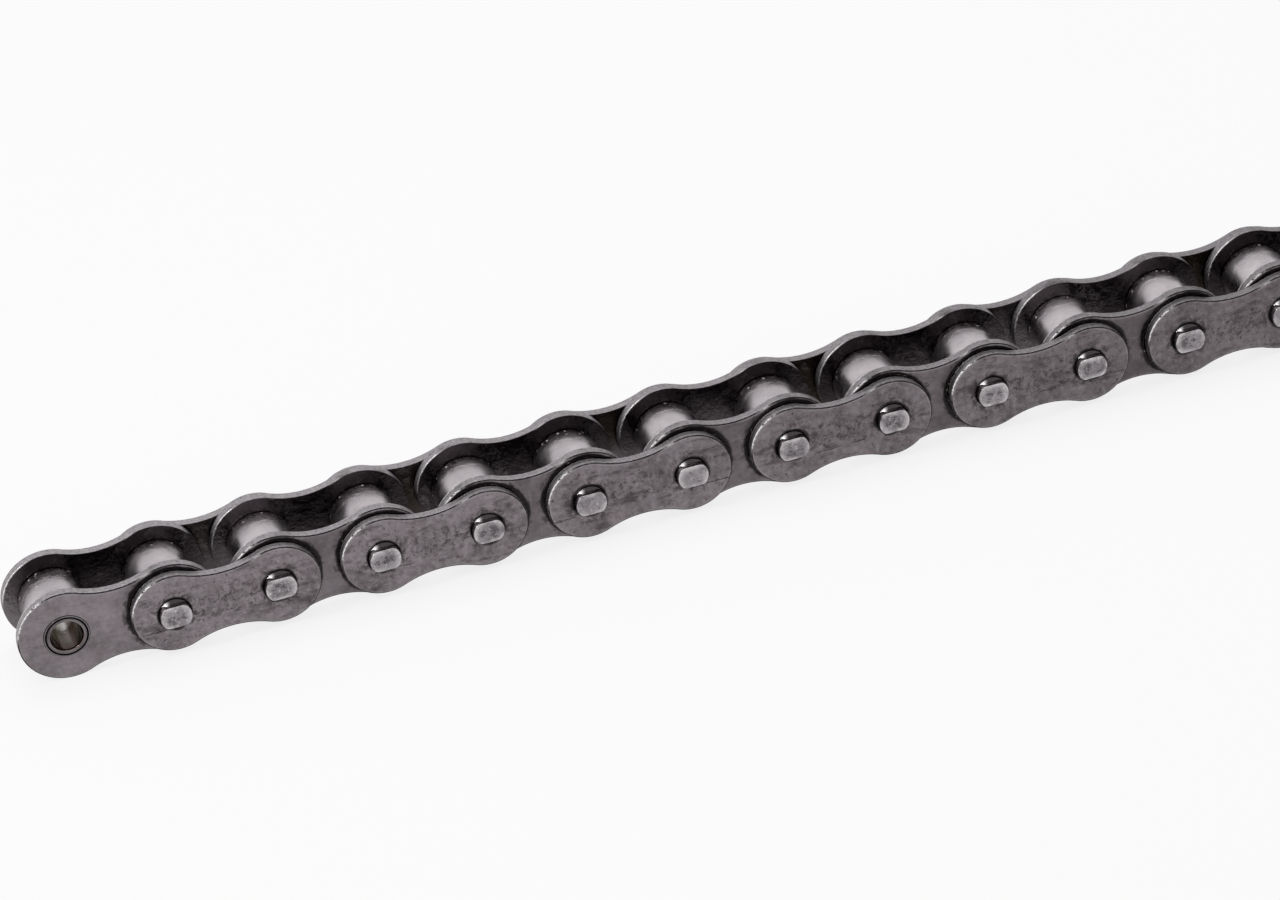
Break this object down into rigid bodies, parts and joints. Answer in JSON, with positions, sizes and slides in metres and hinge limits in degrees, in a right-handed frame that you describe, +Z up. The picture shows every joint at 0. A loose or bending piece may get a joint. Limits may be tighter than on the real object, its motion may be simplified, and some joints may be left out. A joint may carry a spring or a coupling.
{
  "type": "roller chain",
  "caption": "Steel simplex roller chain stretch for conveyors, with waisted plates, free-turning rollers and an open bush bore at each end.",
  "frame": {"origin": "centre of the first bush bore", "axes": "+X along the chain, +Y along the pins, +Z up over the plates"},
  "size_m": [0.265, 0.0224, 0.0174],
  "materials": {
    "inner_plate": "dark oiled steel, satin",
    "outer_plate": "dark oiled steel, satin",
    "bush": "turned steel, oiled",
    "roller": "smooth satin steel, oiled",
    "pin": "pressed bright end, oiled"
  },
  "bodies": {
    "inner_link_1": {"inner_link_1_front_plate": "inner_plate", "inner_link_1_back_plate": "inner_plate", "inner_link_1_bushes": "bush"},
    "outer_link_1": {"outer_link_1_front_plate": "outer_plate", "outer_link_1_back_plate": "outer_plate", "pin_01": "pin", "pin_02": "pin"},
    "inner_link_2": {"inner_link_2_front_plate": "inner_plate", "inner_link_2_back_plate": "inner_plate", "inner_link_2_bushes": "bush"},
    "outer_link_2": {"outer_link_2_front_plate": "outer_plate", "outer_link_2_back_plate": "outer_plate", "pin_03": "pin", "pin_04": "pin"},
    "inner_link_3": {"inner_link_3_front_plate": "inner_plate", "inner_link_3_back_plate": "inner_plate", "inner_link_3_bushes": "bush"},
    "outer_link_3": {"outer_link_3_front_plate": "outer_plate", "outer_link_3_back_plate": "outer_plate", "pin_05": "pin", "pin_06": "pin"},
    "inner_link_4": {"inner_link_4_front_plate": "inner_plate", "inner_link_4_back_plate": "inner_plate", "inner_link_4_bushes": "bush"},
    "outer_link_4": {"outer_link_4_front_plate": "outer_plate", "outer_link_4_back_plate": "outer_plate", "pin_07": "pin", "pin_08": "pin"},
    "inner_link_5": {"inner_link_5_front_plate": "inner_plate", "inner_link_5_back_plate": "inner_plate", "inner_link_5_bushes": "bush"},
    "outer_link_5": {"outer_link_5_front_plate": "outer_plate", "outer_link_5_back_plate": "outer_plate", "pin_09": "pin", "pin_10": "pin"},
    "inner_link_6": {"inner_link_6_front_plate": "inner_plate", "inner_link_6_back_plate": "inner_plate", "inner_link_6_bushes": "bush"},
    "outer_link_6": {"outer_link_6_front_plate": "outer_plate", "outer_link_6_back_plate": "outer_plate", "pin_11": "pin", "pin_12": "pin"},
    "inner_link_7": {"inner_link_7_front_plate": "inner_plate", "inner_link_7_back_plate": "inner_plate", "inner_link_7_bushes": "bush"},
    "roller_01": {"roller_01": "roller"},
    "roller_02": {"roller_02": "roller"},
    "roller_03": {"roller_03": "roller"},
    "roller_04": {"roller_04": "roller"},
    "roller_05": {"roller_05": "roller"},
    "roller_06": {"roller_06": "roller"},
    "roller_07": {"roller_07": "roller"},
    "roller_08": {"roller_08": "roller"},
    "roller_09": {"roller_09": "roller"},
    "roller_10": {"roller_10": "roller"},
    "roller_11": {"roller_11": "roller"},
    "roller_12": {"roller_12": "roller"},
    "roller_13": {"roller_13": "roller"},
    "roller_14": {"roller_14": "roller"}
  },
  "joints": [
    {"name": "hinge_01", "type": "hinge", "parent": "inner_link_1", "child": "outer_link_1", "pos_m": [0.01905, 0, 0], "axis": [0, 1, 0], "range_deg": [-115, 115]},
    {"name": "hinge_02", "type": "hinge", "parent": "outer_link_1", "child": "inner_link_2", "pos_m": [0.0381, 0, 0], "axis": [0, -1, 0], "range_deg": [-115, 115]},
    {"name": "hinge_03", "type": "hinge", "parent": "inner_link_2", "child": "outer_link_2", "pos_m": [0.05715, 0, 0], "axis": [0, 1, 0], "range_deg": [-115, 115]},
    {"name": "hinge_04", "type": "hinge", "parent": "outer_link_2", "child": "inner_link_3", "pos_m": [0.0762, 0, 0], "axis": [0, -1, 0], "range_deg": [-115, 115]},
    {"name": "hinge_05", "type": "hinge", "parent": "inner_link_3", "child": "outer_link_3", "pos_m": [0.09525, 0, 0], "axis": [0, 1, 0], "range_deg": [-115, 115]},
    {"name": "hinge_06", "type": "hinge", "parent": "outer_link_3", "child": "inner_link_4", "pos_m": [0.1143, 0, 0], "axis": [0, -1, 0], "range_deg": [-115, 115]},
    {"name": "hinge_07", "type": "hinge", "parent": "inner_link_4", "child": "outer_link_4", "pos_m": [0.13335, 0, 0], "axis": [0, 1, 0], "range_deg": [-115, 115]},
    {"name": "hinge_08", "type": "hinge", "parent": "outer_link_4", "child": "inner_link_5", "pos_m": [0.1524, 0, 0], "axis": [0, -1, 0], "range_deg": [-115, 115]},
    {"name": "hinge_09", "type": "hinge", "parent": "inner_link_5", "child": "outer_link_5", "pos_m": [0.17145, 0, 0], "axis": [0, 1, 0], "range_deg": [-115, 115]},
    {"name": "hinge_10", "type": "hinge", "parent": "outer_link_5", "child": "inner_link_6", "pos_m": [0.1905, 0, 0], "axis": [0, -1, 0], "range_deg": [-115, 115]},
    {"name": "hinge_11", "type": "hinge", "parent": "inner_link_6", "child": "outer_link_6", "pos_m": [0.20955, 0, 0], "axis": [0, 1, 0], "range_deg": [-115, 115]},
    {"name": "hinge_12", "type": "hinge", "parent": "outer_link_6", "child": "inner_link_7", "pos_m": [0.2286, 0, 0], "axis": [0, -1, 0], "range_deg": [-115, 115]},
    {"name": "roller_spin_01", "type": "hinge", "parent": "inner_link_1", "child": "roller_01", "pos_m": [0, 0, 0], "axis": [0, 1, 0], "continuous": true},
    {"name": "roller_spin_02", "type": "hinge", "parent": "inner_link_1", "child": "roller_02", "pos_m": [0.01905, 0, 0], "axis": [0, 1, 0], "continuous": true},
    {"name": "roller_spin_03", "type": "hinge", "parent": "inner_link_2", "child": "roller_03", "pos_m": [0.0381, 0, 0], "axis": [0, 1, 0], "continuous": true},
    {"name": "roller_spin_04", "type": "hinge", "parent": "inner_link_2", "child": "roller_04", "pos_m": [0.05715, 0, 0], "axis": [0, 1, 0], "continuous": true},
    {"name": "roller_spin_05", "type": "hinge", "parent": "inner_link_3", "child": "roller_05", "pos_m": [0.0762, 0, 0], "axis": [0, 1, 0], "continuous": true},
    {"name": "roller_spin_06", "type": "hinge", "parent": "inner_link_3", "child": "roller_06", "pos_m": [0.09525, 0, 0], "axis": [0, 1, 0], "continuous": true},
    {"name": "roller_spin_07", "type": "hinge", "parent": "inner_link_4", "child": "roller_07", "pos_m": [0.1143, 0, 0], "axis": [0, 1, 0], "continuous": true},
    {"name": "roller_spin_08", "type": "hinge", "parent": "inner_link_4", "child": "roller_08", "pos_m": [0.13335, 0, 0], "axis": [0, 1, 0], "continuous": true},
    {"name": "roller_spin_09", "type": "hinge", "parent": "inner_link_5", "child": "roller_09", "pos_m": [0.1524, 0, 0], "axis": [0, 1, 0], "continuous": true},
    {"name": "roller_spin_10", "type": "hinge", "parent": "inner_link_5", "child": "roller_10", "pos_m": [0.17145, 0, 0], "axis": [0, 1, 0], "continuous": true},
    {"name": "roller_spin_11", "type": "hinge", "parent": "inner_link_6", "child": "roller_11", "pos_m": [0.1905, 0, 0], "axis": [0, 1, 0], "continuous": true},
    {"name": "roller_spin_12", "type": "hinge", "parent": "inner_link_6", "child": "roller_12", "pos_m": [0.20955, 0, 0], "axis": [0, 1, 0], "continuous": true},
    {"name": "roller_spin_13", "type": "hinge", "parent": "inner_link_7", "child": "roller_13", "pos_m": [0.2286, 0, 0], "axis": [0, 1, 0], "continuous": true},
    {"name": "roller_spin_14", "type": "hinge", "parent": "inner_link_7", "child": "roller_14", "pos_m": [0.24765, 0, 0], "axis": [0, 1, 0], "continuous": true}
  ]
}
